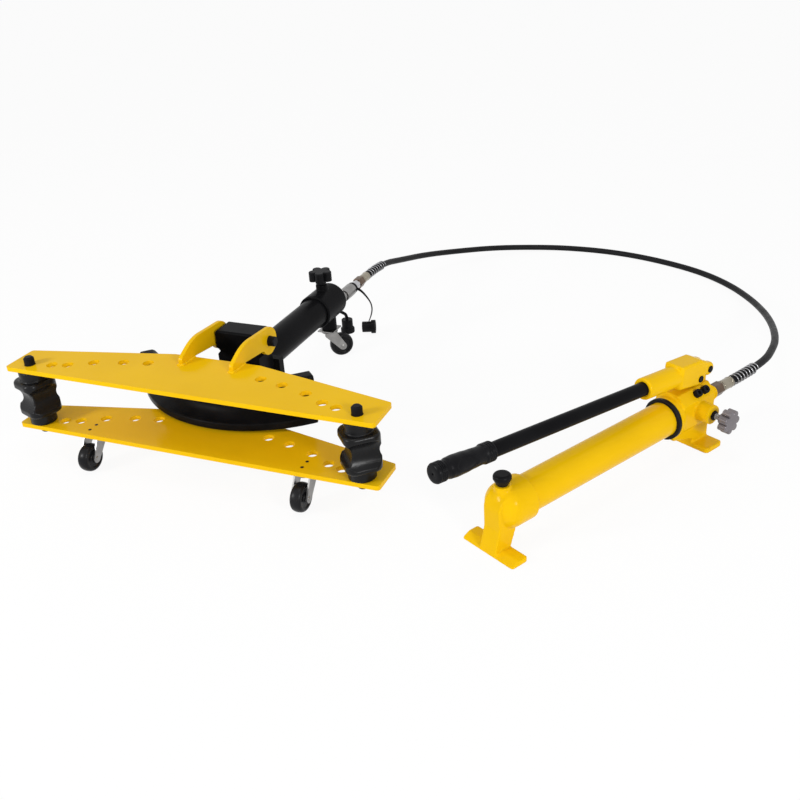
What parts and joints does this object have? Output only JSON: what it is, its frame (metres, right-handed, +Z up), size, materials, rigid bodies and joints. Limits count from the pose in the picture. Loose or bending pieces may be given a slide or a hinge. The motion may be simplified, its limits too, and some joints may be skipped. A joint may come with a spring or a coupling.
{
  "type": "hydraulic pipe bender with hand pump",
  "caption": "Hydraulic pipe bender on casters with a flip-up top wing, grooved rollers and a bending die, joined by a hose to a separate lever hand pump.",
  "frame": {"origin": "on the floor under the middle of the machine's box, without the hose and the caps on straps", "axes": "+X along the wings to the right, +Y along the cylinder to its rear, +Z up"},
  "size_m": [1.2423, 1.4286, 0.217],
  "materials": {
    "yellow_paint": "satin-gloss yellow enamel",
    "black_paint": "satin-gloss black enamel",
    "black_iron": "blackened casting",
    "zinc": "bright zinc plate",
    "dark_fastener": "black oxide",
    "polished_steel": "hard chrome",
    "ferrule_gold": "yellow-passivated steel",
    "nut_bronze": "brown passivated steel",
    "spring_steel": "drawn spring wire",
    "black_rubber": "smooth black rubber",
    "wheel_black": "moulded black rubber wheel",
    "black_plastic": "moulded black plastic",
    "grey_plastic": "moulded grey plastic"
  },
  "bodies": {
    "frame": {"lower_wing": "yellow_paint", "base_bracket": "black_paint", "head_block": "black_paint", "wing_bolts": "dark_fastener", "block_bolts": "dark_fastener", "hinge_pins": "dark_fastener", "cylinder_barrel": "black_paint", "cylinder_end_cap": "black_paint", "rear_collar": "black_paint", "caster_plates": "zinc", "caster_screws": "dark_fastener", "coupler_female": "zinc", "coupler_male": "polished_steel", "cap_rings": "black_rubber", "reservoir_tube": "yellow_paint", "reservoir_gasket": "black_rubber", "pump_front_cap": "yellow_paint", "pump_head": "yellow_paint", "release_gland": "dark_fastener", "valve_plugs": "dark_fastener", "tie_rod": "zinc", "hose": "black_rubber", "hose_nuts": "nut_bronze", "hose_ferrules": "ferrule_gold", "hose_guards": "spring_steel", "dust_cap_female": "black_plastic", "dust_cap_male": "black_plastic", "cap_strap_female": "black_rubber", "cap_strap_male": "black_rubber"},
    "top_wing": {"upper_wing": "yellow_paint", "hinge_arms": "yellow_paint"},
    "ram_and_die": {"ram": "polished_steel", "piston": "polished_steel", "piston_seal": "black_rubber", "bending_die": "black_iron", "return_spring": "spring_steel"},
    "left_roller": {"roller_left": "black_iron", "roller_pin_left": "dark_fastener"},
    "right_roller": {"roller_right": "black_iron", "roller_pin_right": "dark_fastener"},
    "left_caster": {"caster_fork_left": "zinc", "caster_axle_left": "zinc"},
    "right_caster": {"caster_fork_right": "zinc", "caster_axle_right": "zinc"},
    "rear_caster": {"caster_fork_rear": "zinc", "caster_axle_rear": "zinc"},
    "left_wheel": {"caster_wheel_left": "wheel_black"},
    "right_wheel": {"caster_wheel_right": "wheel_black"},
    "rear_wheel": {"caster_wheel_rear": "wheel_black"},
    "clamp_knob": {"collar_knob": "black_plastic", "collar_stud": "dark_fastener"},
    "sleeve": {"coupler_sleeve": "zinc"},
    "pump_lever": {"lever_head": "yellow_paint", "handle_tube": "black_paint", "handle_grip": "black_rubber", "lever_pins": "dark_fastener"},
    "pump_plunger": {"plunger": "polished_steel"},
    "release_valve": {"release_spindle": "zinc", "release_knob": "grey_plastic"},
    "vent": {"vent_cap": "black_plastic"}
  },
  "joints": [
    {"name": "ram_slide", "type": "slide", "parent": "frame", "child": "ram_and_die", "axis": [0, -1, 0], "range_m": [0, 0.2], "deforming": ["return_spring"]},
    {"name": "top_wing_hinge", "type": "hinge", "parent": "frame", "child": "top_wing", "pos_m": [-0.24726, -0.07492, 0.187], "axis": [-1, 0, 0], "range_deg": [0, 75]},
    {"name": "left_roller_turn", "type": "hinge", "parent": "frame", "child": "left_roller", "pos_m": [-0.56026, -0.26992, 0.1245], "axis": [0, 0, 1], "continuous": true},
    {"name": "right_roller_turn", "type": "hinge", "parent": "frame", "child": "right_roller", "pos_m": [0.06574, -0.26992, 0.1245], "axis": [0, 0, 1], "continuous": true},
    {"name": "left_caster_swivel", "type": "hinge", "parent": "frame", "child": "left_caster", "pos_m": [-0.45626, -0.26592, 0.055], "axis": [0, 0, 1], "continuous": true},
    {"name": "right_caster_swivel", "type": "hinge", "parent": "frame", "child": "right_caster", "pos_m": [-0.03826, -0.26592, 0.055], "axis": [0, 0, 1], "continuous": true},
    {"name": "rear_caster_swivel", "type": "hinge", "parent": "frame", "child": "rear_caster", "pos_m": [-0.24726, 0.25208, 0.055], "axis": [0, 0, 1], "continuous": true},
    {"name": "left_wheel_spin", "type": "hinge", "parent": "left_caster", "child": "left_wheel", "pos_m": [-0.45626, -0.28892, 0.025], "axis": [1, 0, 0], "continuous": true},
    {"name": "right_wheel_spin", "type": "hinge", "parent": "right_caster", "child": "right_wheel", "pos_m": [-0.03826, -0.28892, 0.025], "axis": [1, 0, 0], "continuous": true},
    {"name": "rear_wheel_spin", "type": "hinge", "parent": "rear_caster", "child": "rear_wheel", "pos_m": [-0.22964, 0.26687, 0.025], "axis": [0.6428, -0.766, 0], "continuous": true},
    {"name": "clamp_knob_turn", "type": "hinge", "parent": "frame", "child": "clamp_knob", "pos_m": [-0.24726, 0.23608, 0.17], "axis": [0, 0, 1], "range_deg": [0, 360]},
    {"name": "sleeve_turn", "type": "hinge", "parent": "frame", "child": "sleeve", "pos_m": [-0.24726, 0.34908, 0.1085], "axis": [0, 1, 0], "continuous": true},
    {"name": "lever_pump", "type": "hinge", "parent": "frame", "child": "pump_lever", "pos_m": [0.52285, 0.13077, 0.137], "axis": [-0.8755, 0.4833, 0], "range_deg": [0, 50]},
    {"name": "plunger_slide", "type": "slide", "parent": "frame", "child": "pump_plunger", "axis": [0, 0, 1], "range_m": [0, 0.0224]},
    {"name": "release_turn", "type": "hinge", "parent": "frame", "child": "release_valve", "pos_m": [0.55894, 0.072, 0.076], "axis": [0.8755, -0.4833, 0], "range_deg": [0, 270]},
    {"name": "vent_turn", "type": "hinge", "parent": "frame", "child": "vent", "pos_m": [0.29618, -0.27983, 0.115], "axis": [0, 0, 1], "range_deg": [0, 180]}
  ],
  "couplings": [
    {"joint": "plunger_slide", "follows": "lever_pump", "m_per_rad": 0.0256}
  ]
}
